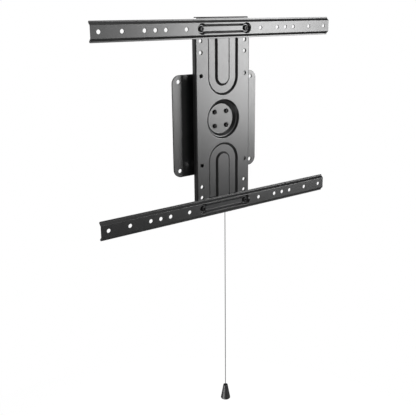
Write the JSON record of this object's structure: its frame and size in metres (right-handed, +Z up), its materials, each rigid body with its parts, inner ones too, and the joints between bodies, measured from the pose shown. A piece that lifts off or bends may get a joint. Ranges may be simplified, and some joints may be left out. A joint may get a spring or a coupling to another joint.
{
  "type": "rotating tv wall mount",
  "caption": "Low-profile television wall mount with a quarter-turn hub, screw-hole rails and a pull-cord lock.",
  "frame": {"origin": "centre of the four wall bolts, on the wall behind the wall plate", "axes": "+X to the right along the rails, +Y into the wall, +Z up; the turning axis runs along Y, 12 mm above the origin"},
  "size_m": [0.634, 0.0395, 0.955],
  "materials": {
    "powder_coat": "satin black powder coat",
    "zinc_steel": "zinc plated, satin",
    "black_steel": "black oxide, satin",
    "spring_steel": "drawn wire",
    "washer_nylon": "matt natural nylon",
    "braided_cord": "grey braid",
    "knob_plastic": "satin black plastic"
  },
  "bodies": {
    "wall": {"wall_plate": "powder_coat", "pivot_base_ring": "zinc_steel", "rear_bearing_washer": "washer_nylon", "front_bearing_washer": "washer_nylon", "retaining_ring": "zinc_steel", "retaining_ring_screws": "black_steel", "rotation_stop_pin": "zinc_steel", "latch_bracket": "zinc_steel", "latch_bracket_rivets": "zinc_steel", "latch_guide_studs": "zinc_steel", "spring_anchor_pin": "zinc_steel", "latch_spring": "spring_steel"},
    "latch": {"latch_slide": "zinc_steel", "cord_nipple": "zinc_steel", "release_cord": "braided_cord", "cord_knot": "braided_cord", "pull_knob": "knob_plastic"},
    "rotor": {"face_plate": "powder_coat", "turn_disc": "zinc_steel", "hub_flange": "zinc_steel", "hub_screws": "black_steel", "upper_rail": "powder_coat", "lower_rail": "powder_coat", "upper_rail_bolts": "black_steel", "lower_rail_bolts": "black_steel", "upper_rail_nuts": "zinc_steel", "lower_rail_nuts": "zinc_steel"}
  },
  "joints": [
    {"name": "rotor_turn", "type": "hinge", "parent": "wall", "child": "rotor", "pos_m": [0, -0.02, 0.012], "axis": [0, 1, 0], "range_deg": [0, 90]},
    {"name": "latch", "type": "slide", "parent": "wall", "child": "latch", "axis": [0, 0, 1], "range_m": [0, 0.008], "stiffness_N_per_m": 400, "springref_m": 0.02, "deforming": ["latch_spring"]}
  ]
}
